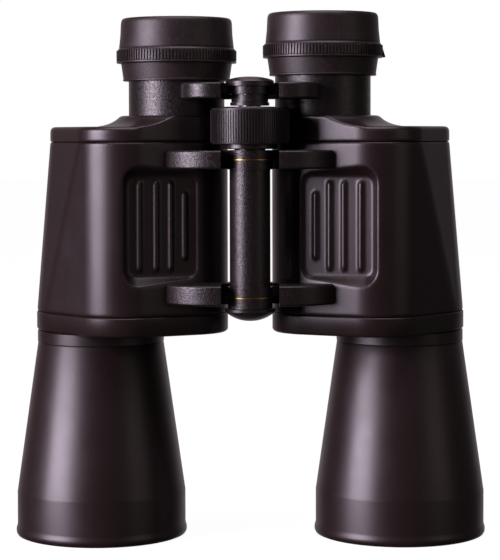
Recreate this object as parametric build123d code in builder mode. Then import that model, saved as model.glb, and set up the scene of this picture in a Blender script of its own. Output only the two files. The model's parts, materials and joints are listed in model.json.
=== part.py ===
from build123d import *
import os
from math import cos, radians, sin

# Porro-prism binoculars with a centre hinge and centre focus, standing on their objective rims.
# Millimetres, +Z towards the eyepieces, -Y the hinge side, X = 0 the plane between the halves.
# The origin is the middle of the foot plane. Right is +X. Left pieces are the right ones mirrored.

# ---- Driving sizes: light axes, measured from the hinge axis ----
EYE = (26.75, 23.5)
OBJECTIVE = (55.5, 32.5)
AXIS_DX = OBJECTIVE[0] - EYE[0]
AXIS_DY = OBJECTIVE[1] - EYE[1]
CORNER = (EYE[0] + (AXIS_DX + AXIS_DY) / 2, EYE[1] + (AXIS_DY - AXIS_DX) / 2)
HINGE = (0.0, 0.0)
WHEEL_R = 14.05
LIP_R = 31.8
HINGE_Y = -(OBJECTIVE[1] + LIP_R - WHEEL_R) / 2

# ---- Housing ----
COLLAR_BASE = 71.5
COVER_BASE = 76.0
HOUSING_BASE = 83.0
SHELF_BASE = 110.5
SHELF_TOP = 112.5
HOUSING_TOP = 145.5
COVER_TOP = 151.0
BOSS_TOP = 155.0
EYE_R = 18.6
CORNER_R = 18.3
OBJECTIVE_R_BASE = 23.5
OBJECTIVE_R_TOP = 18.4
RUBBER = 2.0
POCKET_R = 13.6
APERTURE_R = 8.8
SEAT_BASE = 139.0
NECK_R = 21.2
HOOD_R = 27.6
HOOD_TOP = 8.0
TUBE_BORE_R = 27.2

# ---- Hinge ----
GAP = 0.08  # radial clearance of what turns or slides on a shaft
AXLE_R = 5.5
AXLE_BASE = 84.6
AXLE_TOP = 149.5
KNUCKLE_R = 8.0
HINGE_TUBE_R = 7.25
WASHER_R = 8.1
LUG_FACE = 10.3  # distance from the middle plane to the flat end of a lug
UPPER_LUG = (135.8, 142.5)
LOWER_LUG = (87.5, 94.8)
UPPER_KNUCKLES = (135.7, 139.05, 139.35, 142.5)
LOWER_KNUCKLES = (86.4, 90.15, 90.45, 94.0)
SOCKET_R = 3.2
SOCKET_TOP = 96.0

# ---- Prisms ----
PRISM_WIDTH = 18.0
PRISM_DEPTH = 19.45
CLIP_WIDTH = 7.0
CLIP_THICK = 0.6
CLIP_HALF = 23.2
SCREW_PLACE = 21.5

# ---- Focusing ----
SPINDLE_R = 3.9
SPINDLE_BASE = 112.0
SPINDLE_TOP = 166.5
WHEEL_BASE = 144.6
WHEEL_TOP = 157.5
WHEEL_CORE_R = 12.6
ARM_BASE = 160.7
ARM_TOP = 166.5
RIGHT_ARM_KNUCKLE = (6.55, 159.5, 162.2)
LEFT_ARM_KNUCKLE = (7.35, 162.4, 165.1)

# ---- Eyepieces ----
SLEEVE_R = 17.5
GUIDE_R = 15.7
GUIDE_BORE_R = 14.45
SLEEVE_BASE = 146.6
SLEEVE_TOP = 169.3
DIOPTRE_RISE = 1.9  # how far the right eyepiece stands out at rest

# ---- Finger recess on the housing's inner slope ----
RECESS_IN = (19.5, 7.3)
RECESS_OUT = (43.7, -1.6)
RECESS_BOTTOM = 97.3
RECESS_TOP = 133.4
RIB_PLACES = (23.5, 28.4, 33.5, 39.4)
RIB_WIDTH = 1.7
RIB_HEIGHT = 0.8
RIB_LENGTH = 31.9
SHORT_RIB_LENGTH = 24.3
RECESS_RUN = Vector(RECESS_OUT[0] - RECESS_IN[0], RECESS_OUT[1] - RECESS_IN[1], 0)
RECESS_ALONG = RECESS_RUN.normalized()
RECESS_NORMAL = Vector(RECESS_ALONG.Y, -RECESS_ALONG.X, 0)


def level(height):
    """Horizontal plane at a height, with its middle on the hinge axis."""
    return Plane(origin=(0, HINGE_Y, height))


def side(centre):
    """Upright plane through an upright axis: x outwards, y upwards."""
    return Plane(origin=(centre[0], HINGE_Y + centre[1], 0), x_dir=(1, 0, 0), z_dir=(0, -1, 0))


def upright(centre):
    """Upright axis through a place measured from the hinge axis."""
    return Axis((centre[0], HINGE_Y + centre[1], 0), (0, 0, 1))


def turned(centre, *outline):
    """Solid turned about the upright axis through centre, from (radius, height) points."""
    with BuildPart() as piece:
        with BuildSketch(side(centre)):
            with BuildLine():
                Polyline(*outline, close=True)
            make_face()
        revolve(axis=upright(centre))
    return piece.part


def ring(centre, outer, inner, base, top):
    """Plain turned ring."""
    return turned(centre, (inner, base), (outer, base), (outer, top), (inner, top))


def rod(centre, radius, base, top):
    """Plain upright rod."""
    return turned(centre, (0, base), (radius, base), (radius, top), (0, top))


def lens(centre, radius, base, base_bulge, top, top_bulge):
    """Round lens between two rim heights. A bulge is how far a face's middle stands out."""
    with BuildPart() as glass:
        with BuildSketch(side(centre)):
            with BuildLine():
                TangentArc((0, base - base_bulge), (radius, base), tangent=(1, 0))
                Line((radius, base), (radius, top))
                TangentArc((0, top + top_bulge), (radius, top), tangent=(1, 0))
                Line((0, top + top_bulge), (0, base - base_bulge))
            make_face()
        revolve(axis=upright(centre))
    return glass.part


def cut(whole, *tools):
    """The whole part with each tool taken away."""
    with BuildPart() as piece:
        add(whole)
        for tool in tools:
            add(tool, mode=Mode.SUBTRACT)
    return piece.part


def joined(*pieces):
    """Several shapes as one part."""
    with BuildPart() as piece:
        for shape in pieces:
            add(shape)
    return piece.part


def mirrored(piece):
    """The left-hand twin of a right-hand piece."""
    with BuildPart() as twin:
        mirror(piece, about=Plane.YZ)
    return twin.part


# ---- Housing ----
def housing_outline(height, eye_r, corner_r, objective_r):
    """Outline round the three light axes."""
    with BuildSketch(level(height)) as outline:
        with Locations(EYE):
            Circle(eye_r)
        with Locations(CORNER):
            Circle(corner_r)
        with Locations(OBJECTIVE):
            Circle(objective_r)
        make_hull()
    return outline.sketch.face()


def housing_block(inset):
    """The housing's tapered shape, made smaller all round by inset."""
    with BuildPart() as block:
        low = housing_outline(
            HOUSING_BASE, EYE_R - inset, CORNER_R - inset, OBJECTIVE_R_BASE - inset
        )
        high = housing_outline(
            HOUSING_TOP, EYE_R - inset, CORNER_R - inset, OBJECTIVE_R_TOP - inset
        )
        loft([low, high])
    return block.part


def pocket(base, top, start, end, radius):
    """Room for one prism between two light axes."""
    with BuildPart() as room:
        with BuildSketch(level(base)):
            with Locations(start, end):
                Circle(radius)
            make_hull()
        extrude(amount=top - base)
    return room.part


def recess_floor(depth):
    """Plane of the recess floor, set deeper by depth. Its x runs outwards and its y upwards."""
    middle_x = (RECESS_IN[0] + RECESS_OUT[0]) / 2
    middle_y = HINGE_Y + (RECESS_IN[1] + RECESS_OUT[1]) / 2
    middle = Vector(middle_x, middle_y, (RECESS_BOTTOM + RECESS_TOP) / 2)
    return Plane(
        origin=middle - RECESS_NORMAL * depth, x_dir=RECESS_ALONG, z_dir=RECESS_NORMAL
    )


def recess_room(depth, grow):
    """Room cut for the recess, with walls that lean outwards at 45 degrees."""
    reach = 6.0
    corner = 3.0 + grow
    width = RECESS_RUN.length + 2 * grow
    height = RECESS_TOP - RECESS_BOTTOM + 2 * grow
    floor = recess_floor(depth)
    with BuildPart() as room:
        with BuildSketch(floor):
            RectangleRounded(width, height, corner)
        with BuildSketch(floor.offset(reach)):
            RectangleRounded(width + 2 * reach, height + 2 * reach, corner + reach)
        loft()
    return room.part


def recess_ribs():
    """Upright grip ribs on the recess floor, the innermost one shorter."""
    middle = (RECESS_IN[0] + RECESS_OUT[0]) / 2
    with BuildPart() as ribs:
        for place in RIB_PLACES:
            length = SHORT_RIB_LENGTH if place == RIB_PLACES[0] else RIB_LENGTH
            with BuildSketch(recess_floor(0)):
                with Locations(((place - middle) / RECESS_ALONG.X, 0)):
                    SlotOverall(length, RIB_WIDTH, rotation=90)
            extrude(amount=RIB_HEIGHT)
    return ribs.part


def lug(base, top):
    """Shoulder that reaches from the housing towards the hinge."""
    with BuildPart() as shoulder:
        with BuildSketch(level(base)):
            with Locations((11.0, 12.5)):
                Circle(22.0)
            with Locations((LUG_FACE + 15, 3.0)):
                Rectangle(30, 27, mode=Mode.INTERSECT)
        extrude(amount=top - base)
        fillet(shoulder.edges().filter_by(GeomType.CIRCLE), 0.9)
    return shoulder.part


def knuckle(outer, bore, base, top, web_base):
    """Ring round the hinge axis, with a web to the lug at the back."""
    with BuildPart() as eye:
        with BuildSketch(level(base)):
            Circle(outer)
        extrude(amount=top - base)
        with BuildSketch(level(web_base)):
            Polygon(
                (0, 0), (LUG_FACE + 0.5, 1.9), (LUG_FACE + 0.5, 13.0),
                (outer * cos(radians(75)), outer * sin(radians(75))), align=None,
            )
        extrude(amount=top - web_base)
        with BuildSketch(level(base)):
            Circle(bore)
        extrude(amount=top - base, mode=Mode.SUBTRACT)
    return eye.part


def gusset(base, top):
    """Full-height web behind the hinge, clear of the other half's knuckles."""
    inner = 4.5
    with BuildPart() as web:
        with BuildSketch(level(base)):
            Polygon(
                (inner, 8.6), (LUG_FACE + 0.5, 3.5), (LUG_FACE + 0.5, 13.0), (inner, 13.0),
                align=None,
            )
        extrude(amount=top - base)
    return web.part


def prism_housing(knuckle_levels, bore):
    """Casting with both prism pockets, the shelf between them, the lugs and the knuckles."""
    shell = cut(housing_block(RUBBER), recess_room(1.0, 0.4))
    lugs = joined(
        lug(*UPPER_LUG), lug(*LOWER_LUG), gusset(*UPPER_LUG), gusset(*LOWER_LUG)
    )
    rooms = [
        pocket(SHELF_TOP, HOUSING_TOP, CORNER, OBJECTIVE, POCKET_R),
        pocket(HOUSING_BASE, SHELF_BASE, EYE, CORNER, POCKET_R),
        rod(EYE, GUIDE_BORE_R, SHELF_TOP, SEAT_BASE),
        rod(EYE, GUIDE_R, SEAT_BASE, HOUSING_TOP),
        turned(
            OBJECTIVE, (0, HOUSING_BASE), (19.3, HOUSING_BASE), (17.2, SHELF_BASE), (0, SHELF_BASE)
        ),
    ]
    holes = [rod(place, APERTURE_R, SHELF_BASE, SHELF_TOP) for place in (EYE, CORNER, OBJECTIVE)]
    solid = cut(joined(shell, lugs), *rooms, *holes, clip_screws())
    knuckles = [
        knuckle(KNUCKLE_R, bore, base, top, max(base, lug_base))
        for base, top, lug_base in knuckle_levels
    ]
    return joined(solid, *knuckles)


def housing_armour():
    """Rubber skin with the ribbed recess, open where the lugs come through."""
    core = cut(housing_block(RUBBER), recess_room(1.0, 0.4))
    skin = cut(housing_block(0), recess_room(0, 0))
    return cut(joined(skin, recess_ribs()), core, lug(*UPPER_LUG), lug(*LOWER_LUG), strap_lug())


def top_cover():
    """Cover with a sloping collar that rises to the eyepiece."""
    with BuildPart() as cover:
        add(housing_outline(HOUSING_TOP, EYE_R, CORNER_R, OBJECTIVE_R_TOP))
        extrude(amount=BOSS_TOP - HOUSING_TOP)
        with BuildPart(mode=Mode.PRIVATE) as shape:
            with BuildSketch(level(HOUSING_TOP)):
                Rectangle(200, 200)
            extrude(amount=COVER_TOP - HOUSING_TOP)
            add(turned(EYE, (0, COVER_TOP), (28, COVER_TOP), (21, BOSS_TOP), (0, BOSS_TOP)))
        add(shape.part, mode=Mode.INTERSECT)
    return cover.part


def bottom_cover():
    """Plate under the housing that the objective tube screws into."""
    with BuildPart() as cover:
        add(housing_outline(COVER_BASE, EYE_R, CORNER_R, OBJECTIVE_R_BASE + 0.15))
        extrude(amount=HOUSING_BASE - COVER_BASE)
        chamfer(cover.faces().sort_by(Axis.Z)[0].edges(), 1.0)
        add(rod(OBJECTIVE, NECK_R, COVER_BASE, HOUSING_BASE), mode=Mode.SUBTRACT)
        add(pocket(79.0, HOUSING_BASE, EYE, CORNER, POCKET_R), mode=Mode.SUBTRACT)
    return cover.part


def strap_lug():
    """Moulded loop at the back of the housing for the neck strap."""
    place = upright_face(75, 17.5)
    with BuildPart() as loop:
        with BuildSketch(place):
            with Locations((3.6, 0)):
                RectangleRounded(7.2, 16, 2.5)
                RectangleRounded(3.0, 11, 1.2, mode=Mode.SUBTRACT)
        extrude(amount=2.0, both=True)
        add(housing_block(RUBBER), mode=Mode.SUBTRACT)
    return loop.part


def upright_face(angle, radius):
    """Upright plane on the objective axis: x leads out of the housing at angle, y upwards."""
    out = Vector(cos(radians(angle)), sin(radians(angle)), 0)
    middle = Vector(OBJECTIVE[0], HINGE_Y + OBJECTIVE[1], 128) + out * radius
    return Plane(origin=middle, x_dir=out, z_dir=(out.Y, -out.X, 0))


# ---- Prisms ----
def prism_plane(start, end, height):
    """Upright plane along a prism: x from start to end, y upwards, origin halfway."""
    along = Vector(end[0] - start[0], end[1] - start[1], 0).normalized()
    middle = Vector((start[0] + end[0]) / 2, HINGE_Y + (start[1] + end[1]) / 2, height)
    return Plane(origin=middle, x_dir=along, z_dir=(along.Y, -along.X, 0))


def porro_prism(place, turn):
    """Right-angle prism on its long face, with a light-stop groove. turn is 1 up or -1 down."""
    with BuildPart() as glass:
        with BuildSketch(place):
            Polygon(
                (-PRISM_DEPTH, 0), (-0.6, 0), (-0.6, 1.5 * turn), (0.6, 1.5 * turn), (0.6, 0),
                (PRISM_DEPTH, 0), (0, PRISM_DEPTH * turn), align=None,
            )
        extrude(amount=PRISM_WIDTH / 2, both=True)
    return glass.part


def prism_clip(place, turn):
    """Bent spring strap over the prism's roof."""
    slope = CLIP_THICK * 0.42
    with BuildPart() as strap:
        with BuildSketch(place):
            Polygon(
                (-CLIP_HALF, 0), (-PRISM_DEPTH, 0), (0, PRISM_DEPTH * turn), (PRISM_DEPTH, 0),
                (CLIP_HALF, 0), (CLIP_HALF, CLIP_THICK * turn),
                (PRISM_DEPTH + slope, CLIP_THICK * turn), (0, (PRISM_DEPTH + 0.85) * turn),
                (-PRISM_DEPTH - slope, CLIP_THICK * turn), (-CLIP_HALF, CLIP_THICK * turn),
                align=None,
            )
        extrude(amount=CLIP_WIDTH / 2, both=True)
    return strap.part


UPPER_PLACE = prism_plane(CORNER, OBJECTIVE, SHELF_TOP)
LOWER_PLACE = prism_plane(EYE, CORNER, SHELF_BASE)


def clip_screws():
    """Screws that hold the four clip feet to the shelf."""
    screws = []
    for place, turn in ((UPPER_PLACE, 1), (LOWER_PLACE, -1)):
        for along in (-SCREW_PLACE, SCREW_PLACE):
            spot = place.from_local_coords((along, 0, 0))
            centre = (spot.X, spot.Y - HINGE_Y)
            foot = spot.Z + CLIP_THICK * turn
            head = foot + 0.8 * turn
            tip = spot.Z - 1.6 * turn
            screws.append(
                turned(centre, (0, tip), (0.9, tip), (0.9, foot), (1.6, foot), (1.4, head), (0, head))
            )
    return joined(*screws)


def prism_clips():
    """Both spring straps, drilled for their screws."""
    straps = joined(prism_clip(UPPER_PLACE, 1), prism_clip(LOWER_PLACE, -1))
    return cut(straps, clip_screws())


# ---- Objective ----
def barrel_armour():
    """Rubber sleeve: foot lip, straight band and cone."""
    return turned(
        OBJECTIVE,
        (28.6, 0), (30.9, 0), (31.5, 0.7), (LIP_R, 1.8), (31.5, 3.2), (31.2, 4.8),
        (31.2, 16.5), (23.3, COLLAR_BASE), (21.4, COLLAR_BASE), (29.4, 16.5), (29.4, 1.6),
        (28.6, 1.6),
    )


def objective_tube():
    """Metal tube from the hood to the threaded neck in the bottom cover."""
    return turned(
        OBJECTIVE,
        (HOOD_R, 1.6), (29.4, 1.6), (29.4, 16.5), (21.4, COLLAR_BASE), (23.4, COLLAR_BASE),
        (23.4, COVER_BASE), (NECK_R, COVER_BASE), (NECK_R, 81.5), (19.4, 81.5), (19.4, 72),
        (TUBE_BORE_R, 20), (TUBE_BORE_R, HOOD_TOP), (HOOD_R, HOOD_TOP),
    )


# ---- Eyepieces ----
def guide_tube():
    """Tube fixed in the housing that the eyepiece sleeve slides on."""
    return ring(EYE, GUIDE_R, GUIDE_BORE_R, SEAT_BASE, 163.0)


def bridge_arm(knuckle_size, bore):
    """Eyepiece sleeve with the arm that hangs it on the bridge."""
    knuckle_r, base, top = knuckle_size
    with BuildPart() as arm:
        with BuildSketch(level(ARM_BASE)):
            with Locations((13.0, 2.5)):
                Circle(11.5)
            with Locations((LUG_FACE + 10, 3.0)):
                Rectangle(20, 27, mode=Mode.INTERSECT)
        extrude(amount=ARM_TOP - ARM_BASE)
        fillet(arm.edges().filter_by(GeomType.CIRCLE), 0.8)
        add(rod(EYE, SLEEVE_R, SLEEVE_BASE, SLEEVE_TOP))
        add(rod(EYE, GUIDE_R + GAP, SLEEVE_BASE, SLEEVE_TOP), mode=Mode.SUBTRACT)
        add(gusset(ARM_BASE, ARM_TOP))
        add(knuckle(knuckle_r, bore, base, top, max(base, ARM_BASE)))
    return arm.part


def lens_barrel(rise):
    """Tube that carries the eyepiece lenses."""
    outline = [
        (12.5, 151.5), (14.1, 151.5), (14.1, 165.0), (GUIDE_R, 165.0), (GUIDE_R, 169.6),
        (15.5, 169.6), (15.5, 184.0), (10.4, 184.0), (11.0, 182.5), (11.0, 177.0), (12.5, 177.0),
    ]
    return turned(EYE, *[(radius, height + rise) for radius, height in outline])


def eyepiece_cap(rise):
    """Skirt over the sleeve's top, with the hub that carries ring and eyecup."""
    outline = [
        (17.8, 167.6), (19.5, 167.6), (20.3, 174.1), (19.0, 174.1), (19.0, 179.5), (18.2, 179.5),
        (18.2, 183.0), (15.5 + GAP, 183.0), (15.5 + GAP, 170.3), (17.8, 170.3),
    ]
    return turned(EYE, *[(radius, height + rise) for radius, height in outline])


def grip_ring(rise):
    """Serrated ring under the eyecup."""
    outline = [
        (19.0, 174.1), (22.0, 174.1), (22.0, 178.9), (21.3, 179.5), (19.0, 179.5),
    ]
    return turned(EYE, *[(radius, height + rise) for radius, height in outline])


def dioptre_ring(rise):
    """The grip ring with a wedge-shaped index nub on its outer side."""
    with BuildPart() as marked:
        add(grip_ring(rise))
        with BuildSketch(side(EYE)):
            Polygon(
                (21.0, 174.3 + rise), (23.0, 174.3 + rise), (22.1, 178.9 + rise),
                (21.0, 178.9 + rise), align=None,
            )
        extrude(amount=1.6, both=True)
    return marked.part


def eyecup(rise):
    """Rubber cup that the eye rests against."""
    outline = [
        (18.2, 179.5), (20.9, 179.5), (20.4, 188.6), (20.1, 189.7), (19.3, 190.4), (18.7, 190.2),
        (18.2, 189.4), (17.4, 183.0), (18.2, 183.0),
    ]
    return turned(EYE, *[(radius, height + rise) for radius, height in outline])


# ---- Middle of the binoculars ----
def tripod_cap():
    """Domed cap with a stud that plugs the tripod socket in the axle."""
    with BuildPart() as cap:
        with BuildSketch(side(HINGE)):
            with BuildLine():
                ThreePointArc((0, 81.8), (5.2, 82.75), (9.05, 85.3))
                Polyline(
                    (9.05, 85.3), (9.05, 86.2), (5.9, 86.2), (5.9, 84.3), (3.1, 84.3), (3.1, 90),
                    (0, 90), (0, 81.8),
                )
            make_face()
        revolve(axis=upright(HINGE))
    return cap.part


def bridge_cap():
    """Domed cap on top of the spindle."""
    with BuildPart() as cap:
        with BuildSketch(side(HINGE)):
            with BuildLine():
                ThreePointArc((0, 168.6), (4.6, 168.3), (8.1, 167.4))
                Polyline(
                    (8.1, 167.4), (8.6, 166.9), (8.6, 165.25), (SPINDLE_R, 165.25),
                    (SPINDLE_R, SPINDLE_TOP), (0, SPINDLE_TOP), (0, 168.6),
                )
            make_face()
        revolve(axis=upright(HINGE))
    return cap.part


def hinge_axle():
    """Hollow axle: the focus spindle runs in its top and the tripod socket is in its foot."""
    return turned(
        HINGE,
        (0, SOCKET_TOP), (SOCKET_R, SOCKET_TOP), (SOCKET_R, AXLE_BASE), (AXLE_R, AXLE_BASE),
        (AXLE_R, AXLE_TOP), (SPINDLE_R + GAP, AXLE_TOP), (SPINDLE_R + GAP, SPINDLE_BASE - 4),
        (0, SPINDLE_BASE - 4),
    )


def wheel_core():
    """Focus wheel: it turns on the axle's top and drives the spindle."""
    seat = AXLE_TOP + 0.5
    foot_r = 9.9
    foot_base = 142.8
    boss_r = 9.4
    boss_top = 157.9
    return turned(
        HINGE,
        (AXLE_R + GAP, foot_base), (foot_r, foot_base), (foot_r, WHEEL_BASE),
        (WHEEL_CORE_R, WHEEL_BASE), (WHEEL_CORE_R, WHEEL_TOP), (boss_r, WHEEL_TOP),
        (boss_r, boss_top), (SPINDLE_R + GAP, boss_top), (SPINDLE_R + GAP, seat),
        (AXLE_R + GAP, seat),
    )


def wheel_grip():
    """Rubber tyre of the focus wheel."""
    return turned(
        HINGE,
        (WHEEL_CORE_R, WHEEL_BASE), (WHEEL_R - 0.6, WHEEL_BASE), (WHEEL_R, WHEEL_BASE + 0.6),
        (WHEEL_R, WHEEL_TOP - 0.6), (WHEEL_R - 0.6, WHEEL_TOP), (WHEEL_CORE_R, WHEEL_TOP),
    )


def hinge_washers():
    """Brass washers between the knuckles."""
    upper = ring(HINGE, WASHER_R, AXLE_R, UPPER_KNUCKLES[1] + 0.02, UPPER_KNUCKLES[2] - 0.02)
    lower = ring(HINGE, WASHER_R, AXLE_R, LOWER_KNUCKLES[1] + 0.02, LOWER_KNUCKLES[2] - 0.02)
    return joined(upper, lower)


# ---- Every piece, by name ----
right_knuckles = [
    (UPPER_KNUCKLES[0], UPPER_KNUCKLES[1], UPPER_LUG[0]),
    (LOWER_KNUCKLES[2], LOWER_KNUCKLES[3], LOWER_LUG[0]),
]
left_knuckles = [
    (UPPER_KNUCKLES[2], UPPER_KNUCKLES[3], UPPER_LUG[0]),
    (LOWER_KNUCKLES[0], LOWER_KNUCKLES[1], LOWER_LUG[0]),
]
both_sides = {
    "housing_armour": housing_armour(),
    "top_cover": cut(
        top_cover(),
        rod(EYE, SLEEVE_R + 0.3, HOUSING_TOP, BOSS_TOP),
        pocket(HOUSING_TOP, HOUSING_TOP + 3, CORNER, OBJECTIVE, POCKET_R + 2),
    ),
    "bottom_cover": bottom_cover(),
    "strap_lug": strap_lug(),
    "upper_prism": porro_prism(UPPER_PLACE, 1),
    "lower_prism": porro_prism(LOWER_PLACE, -1),
    "prism_clips": prism_clips(),
    "clip_screws": clip_screws(),
    "barrel_armour": barrel_armour(),
    "objective_tube": objective_tube(),
    "objective_cell": turned(
        OBJECTIVE,
        (25.5, HOOD_TOP), (TUBE_BORE_R, HOOD_TOP), (TUBE_BORE_R, 20), (24.3, 20), (24.3, 18.5),
        (25.5, 18.5),
    ),
    "crown_lens": lens(OBJECTIVE, 25.5, 11, 2.6, 13, 3.5),
    "flint_lens": lens(OBJECTIVE, 25.5, 13, -3.5, 18.5, 0.2),
    "objective_retaining_ring": ring(OBJECTIVE, 25.5, 24.3, 8.5, 10.7),
    "guide_tube": guide_tube(),
}
one_side = {
    "right_prism_housing": prism_housing(right_knuckles, AXLE_R),
    "left_prism_housing": mirrored(prism_housing(left_knuckles, AXLE_R + GAP)),
    "right_bridge_arm": bridge_arm(RIGHT_ARM_KNUCKLE, SPINDLE_R),
    "left_bridge_arm": mirrored(bridge_arm(LEFT_ARM_KNUCKLE, SPINDLE_R + GAP)),
    "right_dioptre_ring": dioptre_ring(DIOPTRE_RISE),
    "left_eyepiece_ring": mirrored(grip_ring(0)),
    "hinge_axle": hinge_axle(),
    "hinge_tube": ring(HINGE, HINGE_TUBE_R, AXLE_R, LOWER_KNUCKLES[3], UPPER_KNUCKLES[0]),
    "hinge_washers": hinge_washers(),
    "focus_wheel_core": wheel_core(),
    "focus_wheel_grip": wheel_grip(),
    "focus_spindle": rod(HINGE, SPINDLE_R, SPINDLE_BASE, SPINDLE_TOP),
    "bridge_washer": ring(HINGE, 6.95, SPINDLE_R, 158.3, 159.4),
    "bridge_cap": bridge_cap(),
    "tripod_cap": tripod_cap(),
}

pieces = dict(one_side)
for name, shape in both_sides.items():
    pieces["right_" + name] = shape
    pieces["left_" + name] = mirrored(shape)
for hand, rise in (("right_", DIOPTRE_RISE), ("left_", 0.0)):
    eyepiece = {
        "lens_barrel": lens_barrel(rise),
        "eye_lens": lens(EYE, 11.0, 179.0 + rise, 0.5, 182.5 + rise, 1.2),
        "field_lens": lens(EYE, 12.5, 163.0 + rise, 0.6, 167.0 + rise, 2.0),
        "field_stop": ring(EYE, 12.5, 9.0, 155.0 + rise, 156.5 + rise),
        "eyepiece_cap": eyepiece_cap(rise),
        "eyecup": eyecup(rise),
    }
    for name, shape in eyepiece.items():
        pieces[hand + name] = shape if hand == "right_" else mirrored(shape)

os.makedirs("parts", exist_ok=True)
for name, shape in pieces.items():
    shape.label = name
    export_step(shape, f"parts/{name}.step")
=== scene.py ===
import json
from math import atan2, cos, pi, radians, sin

import bpy
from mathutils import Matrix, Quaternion, Vector


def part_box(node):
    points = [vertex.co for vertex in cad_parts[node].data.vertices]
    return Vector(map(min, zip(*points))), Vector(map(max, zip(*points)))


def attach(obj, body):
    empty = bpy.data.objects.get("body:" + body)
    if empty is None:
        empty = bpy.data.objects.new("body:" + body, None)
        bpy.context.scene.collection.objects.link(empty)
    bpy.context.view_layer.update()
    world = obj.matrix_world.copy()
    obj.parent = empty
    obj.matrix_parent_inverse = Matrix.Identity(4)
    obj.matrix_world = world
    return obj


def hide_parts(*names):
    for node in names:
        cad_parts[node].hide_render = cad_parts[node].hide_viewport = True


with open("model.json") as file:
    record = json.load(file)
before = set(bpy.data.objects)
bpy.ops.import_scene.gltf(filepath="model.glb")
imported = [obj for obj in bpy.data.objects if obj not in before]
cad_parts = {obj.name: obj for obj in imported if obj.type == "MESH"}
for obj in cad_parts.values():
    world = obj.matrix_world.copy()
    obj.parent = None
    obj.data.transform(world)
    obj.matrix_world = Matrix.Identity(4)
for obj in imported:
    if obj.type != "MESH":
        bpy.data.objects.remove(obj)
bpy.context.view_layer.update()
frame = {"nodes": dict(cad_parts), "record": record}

MM = 0.001
SIDES = {"right": 1, "left": -1}
MERGE = 0.002 * MM  # points nearer than this are one point


# ---------------------------------------------------------------- places, read from the frame
def middle(node):
    low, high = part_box(node)
    return (low + high) / 2


HINGE = middle("hinge_tube")
EYE = middle("right_guide_tube")
OBJECTIVE = middle("right_barrel_armour")
run_x = OBJECTIVE.x - EYE.x
run_y = OBJECTIVE.y - EYE.y
CORNER = Vector((EYE.x + (run_x + run_y) / 2, EYE.y + (run_y - run_x) / 2, 0))
HOUSING_LOW, HOUSING_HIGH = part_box("right_housing_armour")
COVER_LOW, COVER_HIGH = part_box("right_top_cover")
PLATE_LOW, PLATE_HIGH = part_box("right_bottom_cover")

# the housing's outline: rounds about the eyepiece, the inner corner and the objective, which widens
EYE_R = 18.6 * MM
CORNER_R = 18.3 * MM
OBJECTIVE_R_TOP = 18.4 * MM
OBJECTIVE_R_BASE = 23.5 * MM


def spot(point, hand):
    """A place on the right half, or its twin on the left half."""
    return Vector((point.x * hand, point.y, point.z))


# ---------------------------------------------------------------- modelling, as by hand
def deselect():
    if bpy.context.object and bpy.context.object.mode != "OBJECT":
        bpy.ops.object.mode_set(mode="OBJECT")
    bpy.ops.object.select_all(action="DESELECT")


def pick(*objects):
    deselect()
    for item in objects:
        item.select_set(True)
    bpy.context.view_layer.objects.active = objects[0]


def settle(piece, name):
    """Names the piece and puts its place into its mesh."""
    pick(piece)
    bpy.ops.object.transform_apply(location=True, rotation=True, scale=True)
    piece.name = name
    piece.data.name = name
    return piece


def modify(piece, kind, **settings):
    """Adds a modifier with its settings and applies it."""
    modifier = piece.modifiers.new(kind.lower(), kind)
    for key, value in settings.items():
        setattr(modifier, key, value)
    pick(piece)
    bpy.ops.object.modifier_apply(modifier=modifier.name)
    return piece


def carve(piece, tool, how="DIFFERENCE"):
    """Cuts a tool out of the piece, or keeps only what lies in it, and throws the tool away."""
    modify(piece, "BOOLEAN", object=tool, operation=how, solver="EXACT")
    bpy.data.objects.remove(tool)
    return piece


def bevel_edges(piece, width, segments=3, angle=30):
    return modify(
        piece, "BEVEL", width=width, segments=segments, limit_method="ANGLE",
        angle_limit=radians(angle), harden_normals=False,
    )


def shade(piece, angle=35):
    pick(piece)
    bpy.ops.object.shade_smooth_by_angle(angle=radians(angle))
    return piece


def select_faces(piece, test):
    """In edit mode, selects the faces that pass a test on their middle and normal."""
    bpy.ops.object.mode_set(mode="OBJECT")
    mesh = piece.data
    mesh.vertices.foreach_set("select", [False] * len(mesh.vertices))
    mesh.edges.foreach_set("select", [False] * len(mesh.edges))
    for face in mesh.polygons:
        face.select = bool(test(face.center, face.normal))
    bpy.ops.object.mode_set(mode="EDIT")
    bpy.ops.mesh.select_mode(type="FACE")


def turned(name, centre, outline, steps=128, closed=True):
    """Round piece raised from a circle, ring by ring, through (radius, height) points in millimetres.

    A closed outline is a wall, joined back to its first ring. An open one gets a flat cap at each end.
    """
    rings = [(radius * MM, height * MM) for radius, height in outline]
    if closed:
        rings.append(rings[0])
    radius, height = rings[0]
    deselect()
    bpy.ops.mesh.primitive_circle_add(
        vertices=steps, radius=radius, location=(centre.x, centre.y, height), fill_type="NOTHING"
    )
    piece = settle(bpy.context.object, name)
    bpy.ops.object.mode_set(mode="EDIT")
    bpy.ops.mesh.select_mode(type="EDGE")
    bpy.ops.mesh.select_all(action="SELECT")
    for next_radius, next_height in rings[1:]:
        bpy.ops.mesh.extrude_edges_move(
            TRANSFORM_OT_translate={"value": (0, 0, next_height - height)}
        )
        grow = next_radius / radius
        bpy.ops.transform.resize(
            value=(grow, grow, 1), center_override=(centre.x, centre.y, next_height)
        )
        radius, height = next_radius, next_height
    bpy.ops.mesh.select_all(action="SELECT")
    bpy.ops.mesh.remove_doubles(threshold=MERGE)
    if not closed:
        bpy.ops.mesh.fill_holes(sides=0)
    bpy.ops.mesh.select_all(action="SELECT")
    bpy.ops.mesh.normals_make_consistent(inside=False)
    bpy.ops.object.mode_set(mode="OBJECT")
    return piece


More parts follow.
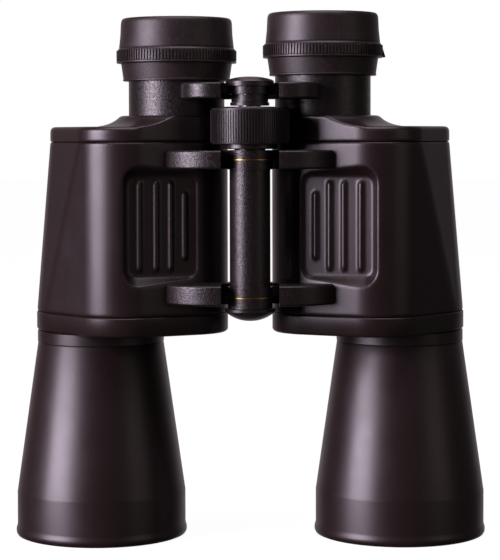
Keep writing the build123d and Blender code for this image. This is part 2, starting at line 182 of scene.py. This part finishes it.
def stretched(name, rings, steps=192):
    """Convex block stretched over level rings, each (centre, radius, height)."""
    deselect()
    circles = []
    for centre, radius, height in rings:
        bpy.ops.mesh.primitive_circle_add(
            vertices=steps, radius=radius, location=(centre.x, centre.y, height)
        )
        circles.append(bpy.context.object)
    pick(*circles)
    bpy.ops.object.join()
    piece = settle(bpy.context.object, name)
    bpy.ops.object.mode_set(mode="EDIT")
    bpy.ops.mesh.select_all(action="SELECT")
    bpy.ops.mesh.convex_hull()
    bpy.ops.mesh.normals_make_consistent(inside=False)
    bpy.ops.object.mode_set(mode="OBJECT")
    return piece


def ribbed(piece, centre, ribs, low, high, reach, inset):
    """Raises every second outer face between two heights into an upright rib."""
    def on_rib(place, normal):
        angle = atan2(place.x - centre.x, place.y - centre.y) % (2 * pi)
        outward = normal.x * (place.x - centre.x) + normal.y * (place.y - centre.y)
        level = low < place.z < high
        return level and abs(normal.z) < 0.1 and outward > 0 and int(angle / pi * ribs) % 2 == 0

    pick(piece)
    select_faces(piece, on_rib)
    bpy.ops.mesh.inset(thickness=inset, depth=reach, use_individual=True)
    bpy.ops.object.mode_set(mode="OBJECT")
    return piece


def outline_rings(height, inset, objective_r, grow=0.0):
    """The housing's outline at a height: rings round its three light axes."""
    return [
        (EYE, EYE_R - inset + grow, height),
        (CORNER, CORNER_R - inset + grow, height),
        (OBJECTIVE, objective_r - inset + grow, height),
    ]


def on_side(rings, hand):
    return [(spot(centre, hand), radius, height) for centre, radius, height in rings]


def rounded_block(name, hand, low, high, radius_low, radius_high, soft_low, soft_high):
    """Block with the housing's outline and rounded lower and upper edges."""
    rings = []
    for turn in range(0, 91, 15):
        part = radians(turn)
        rings += outline_rings(low + soft_low * (1 - sin(part)), soft_low * (1 - cos(part)), radius_low)
        rings += outline_rings(
            high - soft_high * (1 - sin(part)), soft_high * (1 - cos(part)), radius_high
        )
    return stretched(name, on_side(rings, hand))


# ---------------------------------------------------------------- finishes
def linear(hex_colour):
    """sRGB hex colour as linear RGBA."""
    parts = [int(hex_colour[i : i + 2], 16) / 255 for i in (1, 3, 5)]
    return tuple(
        value / 12.92 if value <= 0.04045 else ((value + 0.055) / 1.055) ** 2.4 for value in parts
    ) + (1.0,)


def grain(size_mm):
    """Noise scale, per metre, whose blobs are about this size."""
    return 1 / (size_mm * MM)


def add_node(tree, kind, links=(), **settings):
    """Adds a node, sets its properties and inputs, and links other nodes' outputs to it."""
    node = tree.nodes.new(kind)
    for key, value in settings.items():
        if hasattr(node, key) and key not in node.inputs:
            setattr(node, key, value)
        else:
            node.inputs[key.replace("_", " ")].default_value = value
    for source, output, target in links:
        tree.links.new(source.outputs[output], node.inputs[target])
    return node


def finish(name, colour, roughness, metallic=0.0, ior=1.5, **sockets):
    """A material with its uniform values set on the shader itself. Returns it, its tree and its shader."""
    material = bpy.data.materials.new(name)
    material.use_nodes = True
    material.diffuse_color = linear(colour)
    tree = material.node_tree
    shader = tree.nodes["Principled BSDF"]
    shader.inputs["Base Color"].default_value = linear(colour)
    shader.inputs["Roughness"].default_value = roughness
    shader.inputs["Metallic"].default_value = metallic
    if not metallic:
        shader.inputs["IOR"].default_value = ior
    for socket, value in sockets.items():
        shader.inputs[socket.replace("_", " ")].default_value = value
    return material, tree, shader


def ramp(tree, source, output, low, high, low_value, high_value):
    """Maps a pattern's range to a range of values, clamped at both ends."""
    return add_node(
        tree, "ShaderNodeMapRange", [(source, output, "Value")],
        From_Min=low, From_Max=high, To_Min=low_value, To_Max=high_value,
    )


def mixed_colour(tree, source, output, first, second):
    node = add_node(tree, "ShaderNodeMix", data_type="RGBA")
    tree.links.new(source.outputs[output], node.inputs[0])
    node.inputs[6].default_value = linear(first)
    node.inputs[7].default_value = linear(second)
    return node


PATCH_MM = 14.0  # soft patches in the gloss
SPECK_MM = 1.1  # specks of dust


def moulded(name, base, scuffed, roughness, spread, grain_mm, bump_mm, **sockets):
    """Dark moulded surface: fine grain in its relief, soft patches in its gloss and a dusty tint."""
    material, tree, shader = finish(name, base, roughness, **sockets)
    place = add_node(tree, "ShaderNodeTexCoord")
    fine = add_node(tree, "ShaderNodeTexNoise", [(place, "Object", "Vector")],
                    Scale=grain(grain_mm), Detail=3.0, Roughness=0.6)
    patches = add_node(tree, "ShaderNodeTexNoise", [(place, "Object", "Vector")],
                       Scale=grain(PATCH_MM), Detail=4.0, Roughness=0.55)
    specks = add_node(tree, "ShaderNodeTexNoise", [(place, "Object", "Vector")],
                      Scale=grain(SPECK_MM), Detail=2.0, Roughness=0.5)
    gloss = ramp(tree, patches, "Fac", 0.3, 0.7, roughness - spread, roughness + spread)
    tree.links.new(gloss.outputs["Result"], shader.inputs["Roughness"])
    dust = ramp(tree, specks, "Fac", 0.56, 0.8, 0.0, 0.55)
    tint = mixed_colour(tree, dust, "Result", base, scuffed)
    tree.links.new(tint.outputs[2], shader.inputs["Base Color"])
    relief = add_node(tree, "ShaderNodeBump", [(fine, "Fac", "Height")],
                      Strength=1.0, Distance=bump_mm * MM)
    tree.links.new(relief.outputs["Normal"], shader.inputs["Normal"])
    return material


def enamelled(name, base, speck, roughness, grain_mm, bump_mm):
    """Crinkle enamel baked on a casting: rounded grains that each catch a point of light, and lighter
    specks painted into its colour as glints.
    """
    material, tree, shader = finish(name, base, roughness, ior=1.52)
    place = add_node(tree, "ShaderNodeTexCoord")
    grains = add_node(tree, "ShaderNodeTexVoronoi", [(place, "Object", "Vector")],
                      feature="SMOOTH_F1", Scale=grain(grain_mm), Smoothness=0.6)
    wander = add_node(tree, "ShaderNodeTexNoise", [(place, "Object", "Vector")],
                      Scale=grain(grain_mm * 1.7), Detail=3.0, Roughness=0.6)
    height = add_node(tree, "ShaderNodeMath", [(grains, "Distance", 0), (wander, "Fac", 1)],
                      operation="SUBTRACT")
    gloss = ramp(tree, wander, "Fac", 0.35, 0.7, roughness - 0.08, roughness + 0.12)
    tree.links.new(gloss.outputs["Result"], shader.inputs["Roughness"])
    # painted glints: lighter specks mixed into the colour where the noise is high
    painted_glint_mask = ramp(tree, wander, "Fac", 0.62, 0.8, 0.0, 0.45)
    tint = mixed_colour(tree, painted_glint_mask, "Result", base, speck)
    tree.links.new(tint.outputs[2], shader.inputs["Base Color"])
    relief = add_node(tree, "ShaderNodeBump", [(height, "Value", "Height")],
                      Strength=1.0, Distance=bump_mm * MM, invert=True)
    tree.links.new(relief.outputs["Normal"], shader.inputs["Normal"])
    return material


def turned_metal(name, colour, streak, roughness, pitch_mm):
    """Machined metal with fine rings from the lathe, stacked along the upright axis."""
    material, tree, shader = finish(name, colour, roughness, metallic=1.0)
    place = add_node(tree, "ShaderNodeTexCoord")
    squash = add_node(tree, "ShaderNodeMapping", [(place, "Object", "Vector")],
                      Scale=(40.0, 40.0, grain(pitch_mm)))
    lines = add_node(tree, "ShaderNodeTexNoise", [(squash, "Vector", "Vector")],
                     Scale=1.0, Detail=2.0, Roughness=0.7)
    gloss = ramp(tree, lines, "Fac", 0.3, 0.7, roughness - 0.08, roughness + 0.1)
    tree.links.new(gloss.outputs["Result"], shader.inputs["Roughness"])
    tone = ramp(tree, lines, "Fac", 0.35, 0.7, 0.0, 1.0)
    tint = mixed_colour(tree, tone, "Result", colour, streak)
    tree.links.new(tint.outputs[2], shader.inputs["Base Color"])
    relief = add_node(tree, "ShaderNodeBump", [(lines, "Fac", "Height")],
                      Strength=0.5, Distance=0.01 * MM)
    tree.links.new(relief.outputs["Normal"], shader.inputs["Normal"])
    return material


def polished_glass(name, tint, coat_tint=None):
    """Ground and polished glass. A coat tint stands for the thin anti-reflection film."""
    material, tree, shader = finish(name, tint, 0.02, ior=1.52, Transmission_Weight=1.0)
    place = add_node(tree, "ShaderNodeTexCoord")
    haze = add_node(tree, "ShaderNodeTexNoise", [(place, "Object", "Vector")],
                    Scale=grain(9.0), Detail=3.0, Roughness=0.5)
    film = ramp(tree, haze, "Fac", 0.35, 0.7, 0.015, 0.045)
    tree.links.new(film.outputs["Result"], shader.inputs["Roughness"])
    if coat_tint:
        shader.inputs["Specular Tint"].default_value = linear(coat_tint)
    return material


# Rubber armour moulded in polished dies: satin near-black with a warm brown cast and a soft, wide sheen.
ARMOUR = moulded("moulded_rubber_armour", "#1B1010", "#2C1F20", 0.36, 0.03, 0.45, 0.006, ior=1.5)
# The same rubber on the covers, a touch smoother where the dies were flat.
COVER = moulded("moulded_rubber_cover", "#1D1211", "#302122", 0.35, 0.03, 0.45, 0.006, ior=1.5)
# Crinkle enamel on the lugs, hinge and bridge: hard black with a grain that sparkles in the light, and
# painted glints as lighter specks in its colour.
CRINKLE = enamelled("crinkle_enamel", "#160E0D", "#4A3D3F", 0.36, 0.5, 0.045)
# Plain satin enamel on turned metal: smooth and dark, with a softened highlight.
SATIN = moulded("satin_enamel", "#1A1010", "#302526", 0.34, 0.03, 0.6, 0.008, ior=1.52)
# Matt black anodised aluminium inside the tubes: a velvety dark grey that hides stray light.
ANODISED = moulded("black_anodised_aluminium", "#1A1A1C", "#2A2A2E", 0.6, 0.05, 0.3, 0.004, ior=1.6)
# Soft rubber of the eyecups and skirts: matt, with a fine leathery grain.
EYECUP = moulded("grained_rubber", "#1E1413", "#3E3233", 0.44, 0.05, 0.7, 0.035, ior=1.5)
# Rubber tyre of the focus wheel: harder and a little shinier on the crowns of the ribs.
GRIP = moulded("ribbed_rubber", "#181010", "#382C2D", 0.38, 0.05, 0.5, 0.012, ior=1.5)
# Serrated rings in matt acetal: dark grey, with lighter dust along the teeth.
RING = moulded("matt_acetal", "#211817", "#5A4E50", 0.42, 0.06, 0.5, 0.012, ior=1.48)
# Moulded ABS of the wheel body, strap lugs and tripod cap: smooth satin black.
PLASTIC = moulded("moulded_abs", "#1A1110", "#322829", 0.34, 0.05, 0.8, 0.008, ior=1.53)
# Borosilicate crown glass of the prisms: clear, faintly green in depth.
GLASS = polished_glass("crown_glass", "#EAF3EE")
# Lens glass with a magnesium fluoride film, which throws back a violet-blue reflection.
COATED = polished_glass("coated_glass", "#DFE6F5", "#8C7BE0")
# Bent spring strip of the prism clips: bright and faintly lined.
SPRING = turned_metal("spring_steel", "#8E8C8A", "#A9A7A4", 0.32, 0.25)
# Zinc-plated screws: a slightly cloudy grey.
SCREW = turned_metal("zinc_plated_steel", "#8A8A8C", "#A3A3A6", 0.38, 0.3)
# Blackened steel of the hinge axle: dark with fine rings.
AXLE = turned_metal("blackened_steel", "#34302F", "#4A4644", 0.3, 0.2)
# Steel of the focus spindle, oiled: darker than the axle.
SPINDLE = turned_metal("oiled_steel", "#6E6B68", "#8E8B88", 0.28, 0.2)
# Turned brass washers: a warm yellow line between the hinge knuckles.
BRASS = turned_metal("turned_brass", "#B98A2E", "#D9AE52", 0.3, 0.2)

SLOT_FINISH = {
    "armour_rubber": ARMOUR, "cover_rubber": COVER, "crinkle_paint": CRINKLE, "satin_paint": SATIN,
    "black_anodised": ANODISED, "eyecup_rubber": EYECUP, "grip_rubber": GRIP, "ring_plastic": RING,
    "black_plastic": PLASTIC, "optical_glass": GLASS, "coated_glass": COATED, "spring_steel": SPRING,
    "screw_steel": SCREW, "axle_steel": AXLE, "spindle_steel": SPINDLE, "washer_brass": BRASS,
}


NEW_PIECES = []


def place_piece(piece, node, slot, body):
    """Lets the finished piece stand for a CAD node, on its body and with its finish."""
    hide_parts(node)
    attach(piece, body)
    NEW_PIECES.append((piece, slot))
    return piece


# ---------------------------------------------------------------- rubber housing armour
RECESS_IN = Vector((19.5, 7.3)) * MM
RECESS_OUT = Vector((43.7, -1.6)) * MM
RECESS_LOW = 97.3 * MM
RECESS_HIGH = 133.4 * MM
RECESS_CORNER = 3.0 * MM
RECESS_REACH = 6.0 * MM
RIBS = ((23.5, 24.3), (28.4, 31.9), (33.5, 31.9), (39.4, 31.9))  # distance out, length
RIB_R = 0.95 * MM
SKIN = 2.0 * MM
SKIN_BEHIND_RECESS = 1.1 * MM
ARMOUR_EDGE = 0.4 * MM  # softness of the armour's lower and upper edges
ARMOUR_VOXEL = 0.5 * MM


def recess_point(along, up, out, hand):
    """Place on the recess floor: along it from its middle, up, and out of it."""
    run = (RECESS_OUT - RECESS_IN).normalized()
    centre = (RECESS_IN + RECESS_OUT) / 2
    x = centre.x + run.x * along + run.y * out
    y = centre.y + run.y * along - run.x * out
    return Vector((x * hand, HINGE.y + y, (RECESS_LOW + RECESS_HIGH) / 2 + up))


def recess_tool(hand, deeper=0.0, grow=0.0):
    """Room for the recess: a rounded rectangle that widens outwards at 45 degrees."""
    half_width = (RECESS_OUT - RECESS_IN).length / 2
    half_height = (RECESS_HIGH - RECESS_LOW) / 2
    corner = RECESS_CORNER + grow
    run = (RECESS_OUT - RECESS_IN).normalized()
    lean = atan2(run.y, run.x) * hand
    outlines = []
    for out in (0.0, RECESS_REACH):
        for sx in (-1, 1):
            for sz in (-1, 1):
                along = sx * (half_width - RECESS_CORNER)
                up = sz * (half_height - RECESS_CORNER)
                bpy.ops.object.select_all(action="DESELECT")
                bpy.ops.mesh.primitive_circle_add(
                    vertices=48, radius=corner + out,
                    location=recess_point(along, up, out - deeper, hand), rotation=(pi / 2, 0, lean),
                )
                outlines.append(bpy.context.object)
    pick(*outlines)
    bpy.ops.object.join()
    tool = settle(bpy.context.object, "recess_room")
    bpy.ops.object.mode_set(mode="EDIT")
    bpy.ops.mesh.select_all(action="SELECT")
    bpy.ops.mesh.convex_hull()
    bpy.ops.mesh.normals_make_consistent(inside=False)
    bpy.ops.object.mode_set(mode="OBJECT")
    return tool


def grip_rib(hand, place, length):
    """One upright rib with round ends, lying half in the recess floor."""
    run = (RECESS_OUT - RECESS_IN).normalized()
    along = (place * MM - (RECESS_IN.x + RECESS_OUT.x) / 2) / run.x
    middle_place = recess_point(along, 0, 0, hand)
    bpy.ops.object.select_all(action="DESELECT")
    bpy.ops.mesh.primitive_uv_sphere_add(
        segments=24, ring_count=12, radius=RIB_R, location=middle_place
    )
    rib = settle(bpy.context.object, "rib")
    for end in (-1, 1):
        def beyond(place, normal, end=end):
            return (place.z - middle_place.z) * end > 0

        pick(rib)
        select_faces(rib, beyond)
        bpy.ops.transform.translate(value=(0, 0, end * (length * MM / 2 - RIB_R)))
        bpy.ops.object.mode_set(mode="OBJECT")
    return rib


def housing_armour(side, hand):
    """Moulded rubber skin: tapered, with the ribbed finger recess in its inner slope."""
    name = side + "_armour_skin"
    low, high = HOUSING_LOW.z, HOUSING_HIGH.z
    skin = rounded_block(
        name, hand, low, high, OBJECTIVE_R_BASE, OBJECTIVE_R_TOP, ARMOUR_EDGE, ARMOUR_EDGE
    )
    carve(skin, recess_tool(hand))
    ribs = [grip_rib(hand, place, length) for place, length in RIBS]
    pick(skin, *ribs)
    bpy.ops.object.join()
    modify(skin, "REMESH", mode="VOXEL", voxel_size=ARMOUR_VOXEL, use_smooth_shade=True)
    modify(skin, "SMOOTH", factor=0.5, iterations=6)
    past = 3 * MM
    core_rings = outline_rings(low - past, SKIN, OBJECTIVE_R_BASE)
    core_rings += outline_rings(high + past, SKIN, OBJECTIVE_R_TOP)
    core = stretched("core", on_side(core_rings, hand), steps=96)
    carve(core, recess_tool(hand, deeper=SKIN_BEHIND_RECESS, grow=ARMOUR_EDGE))
    carve(skin, core)
    shade(skin, 40)
    place_piece(skin, side + "_housing_armour", "armour_rubber", side + "_half")
    return skin


# ---------------------------------------------------------------- covers
COVER_FLAT = 151.0 * MM
COVER_EDGE = 1.7 * MM
COLLAR_EDGE = 0.7 * MM
COVER_VOXEL = 0.4 * MM
COVER_SEAM = 2.5 * MM  # height of the foot that keeps its crisp seam with the armour


def top_cover(side, hand):
    """Cover whose flat top slopes up to a collar round the eyepiece."""
    name = side + "_eye_end_cover"
    low, high = COVER_LOW.z, COVER_HIGH.z
    cover = rounded_block(
        name, hand, low, COVER_FLAT, OBJECTIVE_R_TOP, OBJECTIVE_R_TOP, ARMOUR_EDGE, COVER_EDGE
    )
    boss = rounded_block(
        "boss", hand, low, high, OBJECTIVE_R_TOP, OBJECTIVE_R_TOP, ARMOUR_EDGE, COLLAR_EDGE
    )
    eye = spot(EYE, hand)
    slope = [
        (31, 150.2), (29, 151.1), (27, 151.45), (25, 152.0), (23.4, 152.7), (22, 153.6), (21, 154.5),
        (20.3, 154.9), (19.6, 155.02),
    ]
    carve(boss, turned("slope", eye, [(31, 145)] + slope, steps=192, closed=False), "INTERSECT")
    bore = [(17.8, 138), (17.8, 158)]
    for block in (cover, boss):
        carve(block, turned("bore", eye, bore, steps=192, closed=False))
    pick(cover, boss)
    bpy.ops.object.join()
    modify(cover, "REMESH", mode="VOXEL", voxel_size=COVER_VOXEL, use_smooth_shade=True)
    high_part = cover.vertex_groups.new(name="upper_edge")
    upper = [point.index for point in cover.data.vertices if point.co.z > low + COVER_SEAM]
    high_part.add(upper, 1.0, "REPLACE")
    modify(cover, "SMOOTH", factor=0.5, iterations=9, vertex_group="upper_edge")
    modify(cover, "SMOOTH", factor=0.5, iterations=3)
    shade(cover, 40)
    place_piece(cover, side + "_top_cover", "cover_rubber", side + "_half")
    return cover


def bottom_cover(side, hand):
    """Plate with a bevelled lower edge that the objective tube screws into."""
    name = side + "_objective_end_cover"
    low, high = PLATE_LOW.z, PLATE_HIGH.z
    overlap = 0.15 * MM
    radius = OBJECTIVE_R_BASE + overlap
    rings = outline_rings(low, 1.0 * MM, radius) + outline_rings(low + 0.35 * MM, 0.45 * MM, radius)
    rings += outline_rings(low + 1.0 * MM, 0, radius) + outline_rings(high - 0.35 * MM, 0, radius)
    rings += outline_rings(high, 0.35 * MM, radius)
    cover = stretched(name, on_side(rings, hand))
    bore = turned("bore", spot(OBJECTIVE, hand), [(21.2, 70), (21.2, 90)], closed=False)
    carve(cover, bore)
    shade(cover, 40)
    place_piece(cover, side + "_bottom_cover", "cover_rubber", side + "_half")
    return cover


# ---------------------------------------------------------------- objective barrel
def barrel(side, hand):
    """Rubber sleeve of the barrel: rolled foot lip, straight band and long cone."""
    outline = [
        (28.6, 0.2), (28.9, 0), (30.6, 0), (31.2, 0.25), (31.6, 0.95), (31.7, 1.8), (31.6, 2.6),
        (31.35, 3.3), (31.2, 4.2), (31.2, 16.2), (31.1, 16.7), (23.3, 71.2), (23.1, 71.5),
        (21.4, 71.5), (29.4, 16.5), (29.4, 1.6), (28.6, 1.6),
    ]
    sleeve = turned(side + "_barrel_sleeve", spot(OBJECTIVE, hand), outline, steps=192)
    shade(sleeve, 30)
    place_piece(sleeve, side + "_barrel_armour", "armour_rubber", side + "_half")
    return sleeve


def barrel_collar(side, hand):
    """Metal tube inside the sleeve, with the collar that shows above it."""
    outline = [
        (27.6, 1.6), (29.4, 1.6), (29.4, 16.5), (21.4, 71.5), (23.1, 71.5), (23.4, 71.8),
        (23.4, 75.7), (23.1, 76.0), (21.2, 76.0), (21.2, 81.5), (19.4, 81.5), (19.4, 72), (27.2, 20),
        (27.2, 8), (27.6, 8),
    ]
    tube = turned(side + "_barrel_tube", spot(OBJECTIVE, hand), outline, steps=192)
    shade(tube, 30)
    place_piece(tube, side + "_objective_tube", "satin_paint", side + "_half")
    return tube


# ---------------------------------------------------------------- eyepieces
EYEPIECES = {
    "left": ("left_eyepiece", 0.0, "left_eyepiece_ring"),
    "right": ("dioptre_ring", 1.9, "right_dioptre_ring"),
}
RING_TEETH = 115
TOOTH_DEPTH = 0.45 * MM
TOOTH_GAP = 0.12 * MM


def raised(outline, rise):
    return [(radius, height + rise) for radius, height in outline]


def eyecup(side, hand):
    """Rubber cup with a rolled rim."""
    body, rise, _ = EYEPIECES[side]
    outline = [
        (18.2, 179.5), (20.85, 179.5), (20.98, 179.8), (20.9, 180.4), (20.5, 184.2), (20.3, 188.4),
        (20.2, 189.2), (19.95, 189.8), (19.55, 190.25), (19.1, 190.4), (18.6, 190.3), (18.25, 189.9),
        (18.1, 189.2),
        (17.75, 186.5), (17.4, 183.2), (17.5, 183.0), (18.2, 183.0),
    ]
    cup = turned(side + "_rubber_cup", spot(EYE, hand), raised(outline, rise), steps=160)
    shade(cup, 40)
    place_piece(cup, side + "_eyecup", "eyecup_rubber", body)
    return cup


def eyepiece_skirt(side, hand):
    """Tapered skirt below the ring, with a small lip at its foot."""
    body, rise, _ = EYEPIECES[side]
    outline = [
        (17.8, 167.8), (18.0, 167.6), (19.4, 167.6), (19.6, 167.8), (19.6, 168.2), (19.45, 168.4),
        (20.25, 173.9), (20.1, 174.1), (19.0, 174.1), (19.0, 179.5), (18.2, 179.5), (18.2, 183.0),
        (15.6, 183.0), (15.6, 170.3), (17.8, 170.3),
    ]
    skirt = turned(side + "_eyepiece_skirt", spot(EYE, hand), raised(outline, rise), steps=160)
    shade(skirt, 30)
    place_piece(skirt, side + "_eyepiece_cap", "eyecup_rubber", body)
    return skirt


def serrated_ring(side, hand):
    """Ring with fine upright teeth between a bevelled top and a plain foot lip."""
    body, rise, node = EYEPIECES[side]
    outline = [
        (19.0, 174.1), (21.75, 174.1), (21.95, 174.3), (21.95, 174.75), (21.5, 174.95),
        (21.5, 178.75), (21.3, 179.2), (20.9, 179.5), (19.0, 179.5),
    ]
    centre = spot(EYE, hand)
    grip = turned(side + "_serrated_ring", centre, raised(outline, rise), steps=2 * RING_TEETH)
    low, high = (174.95 + rise) * MM, (178.75 + rise) * MM
    ribbed(grip, centre, RING_TEETH, low, high, TOOTH_DEPTH, TOOTH_GAP)
    shade(grip, 30)
    if side == "right":
        deselect()
        bpy.ops.mesh.primitive_cube_add(
            size=1, location=(centre.x + 21.9 * MM, centre.y, (176.6 + rise) * MM),
            scale=(2.0 * MM, 3.2 * MM, 4.6 * MM),
        )
        nub = settle(bpy.context.object, "nub")
        select_faces(nub, lambda place, normal: normal.z > 0.9)
        bpy.ops.transform.resize(value=(0.3, 0.8, 1), center_override=(
            centre.x + 20.9 * MM, centre.y, (178.9 + rise) * MM))
        bpy.ops.object.mode_set(mode="OBJECT")
        bevel_edges(nub, 0.2 * MM, segments=2)
        shade(nub)
        pick(grip, nub)
        bpy.ops.object.join()
    place_piece(grip, node, "ring_plastic", body)
    return grip


# ---------------------------------------------------------------- focus wheel, caps and washers
WHEEL_RIBS = 88
WHEEL_RIB_DEPTH = 0.33 * MM
WHEEL_RIB_GAP = 0.1 * MM


def focus_grip():
    """Rubber tyre with fine upright ribs between two plain rims."""
    outline = [
        (12.6, 144.6), (13.3, 144.6), (13.65, 144.9), (13.7, 145.3), (13.7, 156.8), (13.65, 157.2),
        (13.3, 157.5), (12.6, 157.5),
    ]
    tyre = turned("focus_grip", HINGE, outline, steps=2 * WHEEL_RIBS)
    ribbed(tyre, HINGE, WHEEL_RIBS, 145.3 * MM, 156.8 * MM, WHEEL_RIB_DEPTH, WHEEL_RIB_GAP)
    shade(tyre, 30)
    place_piece(tyre, "focus_wheel_grip", "grip_rubber", "focus_wheel")
    return tyre


def focus_core():
    """Wheel body with a ring groove and a boss on its top and bottom faces."""
    outline = [
        (5.6, 142.9), (9.6, 142.9), (9.9, 143.2), (9.9, 145.2), (11.2, 145.2), (11.5, 144.7),
        (12.6, 144.7), (12.6, 157.4), (11.5, 157.4), (11.2, 156.8), (9.4, 156.8), (9.4, 157.6),
        (9.1, 157.9), (4.0, 157.9), (4.0, 150.0), (5.6, 150.0),
    ]
    core = turned("focus_core", HINGE, outline, steps=128)
    shade(core, 30)
    place_piece(core, "focus_wheel_core", "black_plastic", "focus_wheel")
    return core


for side, hand in SIDES.items():
    housing_armour(side, hand)
    top_cover(side, hand)
    bottom_cover(side, hand)
    barrel(side, hand)
    barrel_collar(side, hand)
    eyecup(side, hand)
    eyepiece_skirt(side, hand)
    serrated_ring(side, hand)
focus_grip()
focus_core()

# ---------------------------------------------------------------- finishes on every piece
SLOT_OF_NODE = {row["node"]: row["material_slot"] for row in frame["record"]["subparts"]}
for node, item in frame["nodes"].items():
    for place in item.material_slots:
        place.material = SLOT_FINISH[SLOT_OF_NODE[node]]
for piece, slot in NEW_PIECES:
    piece.data.materials.clear()
    piece.data.materials.append(SLOT_FINISH[slot])

# ---------------------------------------------------------------- camera
CAMERA_ASIDE = -0.0003
CAMERA_DISTANCE = 0.727  # in front of the hinge axis
CAMERA_HEIGHT = 0.1478
CAMERA_PITCH = 2.03  # degrees down
CAMERA_ROLL = 0.13
camera_data = bpy.data.cameras.new("camera")
camera = bpy.data.objects.new("camera", camera_data)
bpy.context.scene.collection.objects.link(camera)
camera.location = (CAMERA_ASIDE, HINGE.y - CAMERA_DISTANCE, CAMERA_HEIGHT)
look = Vector((0, cos(radians(CAMERA_PITCH)), -sin(radians(CAMERA_PITCH))))
turn = look.to_track_quat("-Z", "Y")
roll = Quaternion((0, 0, 1), radians(-CAMERA_ROLL))
camera.rotation_euler = (turn @ roll).to_euler()
camera_data.sensor_fit = "VERTICAL"
camera_data.sensor_width = 36
camera_data.sensor_height = 36
camera_data.lens = 131.6
camera_data.shift_x = 0.0015
camera_data.shift_y = -0.1289
camera_data.clip_start = 0.01
camera_data.clip_end = 50
bpy.context.scene.camera = camera


# ---------------------------------------------------------------- soft studio light
AIM = Vector((0, 0, 0.09))


def softbox(name, azimuth, elevation, distance, width, height, radiance, colour):
    """Rectangular area light facing the object. Azimuth 0 is in front, positive to the right."""
    data = bpy.data.lights.new(name, "AREA")
    data.shape = "RECTANGLE"
    data.size = width
    data.size_y = height
    data.energy = radiance * pi * width * height
    data.color = colour
    lamp = bpy.data.objects.new(name, data)
    bpy.context.scene.collection.objects.link(lamp)
    a, e = radians(azimuth), radians(elevation)
    way = Vector((sin(a) * cos(e), -cos(a) * cos(e), sin(e)))
    lamp.location = AIM + way * distance
    lamp.rotation_euler = (-way).to_track_quat("-Z", "Y").to_euler()
    return lamp


softbox("key_left", -60, 12, 1.2, 0.66, 0.62, 17.0, (0.97, 0.83, 1.0))
softbox("fill_right", 56, 12, 1.2, 0.6, 0.62, 0.55, (1.0, 0.86, 0.80))
softbox("overhead", 0, 78, 1.3, 1.4, 1.0, 3.2, (0.98, 0.88, 1.0))

# ---------------------------------------------------------------- floor and surroundings
FLOOR_SIDE = 12.0
FIBRE_MM = 4.0
# Matt white paper, nearly evenly bright, on which only a faint contact shadow shows.
paper, paper_tree, paper_shader = finish("matt_white_paper", "#4A4A4A", 0.9)
paper_shader.inputs["Emission Color"].default_value = (1, 1, 1, 1)
paper_shader.inputs["Emission Strength"].default_value = 0.96
paper_place = add_node(paper_tree, "ShaderNodeTexCoord")
fibres = add_node(paper_tree, "ShaderNodeTexNoise", [(paper_place, "Object", "Vector")],
                  Scale=grain(FIBRE_MM), Detail=3.0)
paper_tone = ramp(paper_tree, fibres, "Fac", 0.3, 0.7, 0.0, 1.0)
paper_tint = mixed_colour(paper_tree, paper_tone, "Result", "#484848", "#4C4C4C")
paper_tree.links.new(paper_tint.outputs[2], paper_shader.inputs["Base Color"])
deselect()
bpy.ops.mesh.primitive_plane_add(size=FLOOR_SIDE)
floor = bpy.context.object
floor.name = "floor"
floor.data.materials.append(paper)
floor.visible_glossy = False
floor.visible_diffuse = False

world = bpy.data.worlds.new("studio")
bpy.context.scene.world = world
world.use_nodes = True
tree = world.node_tree
tree.nodes.clear()
# The object sees a dim room that brightens behind it. The camera sees plain white.
rays = add_node(tree, "ShaderNodeLightPath")
direction = add_node(tree, "ShaderNodeTexCoord")
parts = add_node(tree, "ShaderNodeSeparateXYZ", [(direction, "Generated", 0)])
behind = ramp(tree, parts, "Y", 0.62, 0.97, 0.06, 0.62)
room = add_node(tree, "ShaderNodeBackground", [(behind, "Result", "Strength")],
                Color=(1.0, 0.86, 0.9, 1))
paper_sky = add_node(tree, "ShaderNodeBackground", Color=(1, 1, 1, 1), Strength=1.0)
chosen = add_node(tree, "ShaderNodeMixShader",
                  [(rays, "Is Camera Ray", 0), (room, 0, 1), (paper_sky, 0, 2)])
add_node(tree, "ShaderNodeOutputWorld", [(chosen, 0, "Surface")])
bpy.context.scene.view_settings.view_transform = "Standard"
